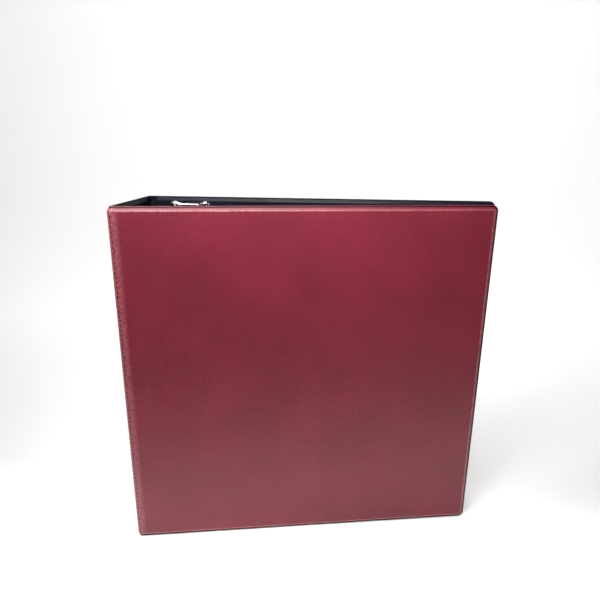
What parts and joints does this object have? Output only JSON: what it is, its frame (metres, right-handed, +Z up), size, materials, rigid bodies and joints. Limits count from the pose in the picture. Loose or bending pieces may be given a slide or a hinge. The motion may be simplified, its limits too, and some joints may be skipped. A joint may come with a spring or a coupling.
{
  "type": "ring album",
  "caption": "Upright ring album with a wide spine, two vinyl-covered boards in a wedge, and a D-ring mechanism with a lever at each end.",
  "frame": {"origin": "middle of the footprint, on the surface that the album stands on", "axes": "+Z up along the spine; +X from the spine to the fore-edge; -Y towards the side that the front cover faces"},
  "size_m": [0.3014, 0.0886, 0.292],
  "materials": {
    "cover_vinyl": "burgundy PVC sheet with a fine leather grain, satin",
    "liner_vinyl": "smooth black PVC sheet, glossy, slightly rippled",
    "chipboard": "raw grey-brown board, hidden",
    "nickel_plate": "bright nickel-plated steel",
    "rail_steel": "plain zinc-plated steel"
  },
  "bodies": {
    "back_cover": {"back_cover_vinyl": "cover_vinyl", "back_cover_board": "chipboard", "back_cover_liner": "liner_vinyl", "ring_plate": "nickel_plate", "upper_mounting_rivet": "nickel_plate", "lower_mounting_rivet": "nickel_plate", "upper_lever_pin": "rail_steel", "lower_lever_pin": "rail_steel"},
    "spine": {"spine_vinyl": "cover_vinyl", "spine_board": "chipboard", "spine_liner": "liner_vinyl", "back_hinge_strip": "cover_vinyl"},
    "front_cover": {"front_cover_vinyl": "cover_vinyl", "front_cover_board": "chipboard", "front_cover_liner": "liner_vinyl", "front_hinge_strip": "cover_vinyl"},
    "spine_side_rail": {"spine_side_rail": "rail_steel", "upper_ring_bow": "nickel_plate", "middle_ring_bow": "nickel_plate", "lower_ring_bow": "nickel_plate"},
    "fore_edge_rail": {"fore_edge_rail": "rail_steel", "upper_ring_post": "nickel_plate", "middle_ring_post": "nickel_plate", "lower_ring_post": "nickel_plate"},
    "upper_lever": {"upper_lever": "nickel_plate"},
    "lower_lever": {"lower_lever": "nickel_plate"}
  },
  "joints": [
    {"name": "spine_hinge", "type": "hinge", "parent": "back_cover", "child": "spine", "pos_m": [-0.14905, 0.04105, 0.146], "axis": [0, 0, -1], "range_deg": [0, 90], "deforming": ["back_hinge_strip"]},
    {"name": "front_cover_hinge", "type": "hinge", "parent": "spine", "child": "front_cover", "pos_m": [-0.14905, -0.04351, 0.146], "axis": [0, 0, -1], "range_deg": [0, 100.4], "deforming": ["front_hinge_strip"]},
    {"name": "upper_lever_pivot", "type": "hinge", "parent": "back_cover", "child": "upper_lever", "pos_m": [-0.10725, 0.03425, 0.2682], "axis": [-1, 0, 0], "range_deg": [0, 18]},
    {"name": "lower_lever_pivot", "type": "hinge", "parent": "back_cover", "child": "lower_lever", "pos_m": [-0.10725, 0.03425, 0.0238], "axis": [1, 0, 0], "range_deg": [0, 18]},
    {"name": "spine_side_rail_pivot", "type": "hinge", "parent": "back_cover", "child": "spine_side_rail", "pos_m": [-0.12555, 0.03375, 0.146], "axis": [0, 0, -1], "range_deg": [0, 11]},
    {"name": "fore_edge_rail_pivot", "type": "hinge", "parent": "back_cover", "child": "fore_edge_rail", "pos_m": [-0.08895, 0.03375, 0.146], "axis": [0, 0, 1], "range_deg": [0, 11]}
  ],
  "couplings": [
    {"joint": "lower_lever_pivot", "follows": "upper_lever_pivot", "ratio": 1},
    {"joint": "spine_side_rail_pivot", "follows": "upper_lever_pivot", "ratio": 0.61111},
    {"joint": "fore_edge_rail_pivot", "follows": "upper_lever_pivot", "ratio": 0.61111}
  ]
}
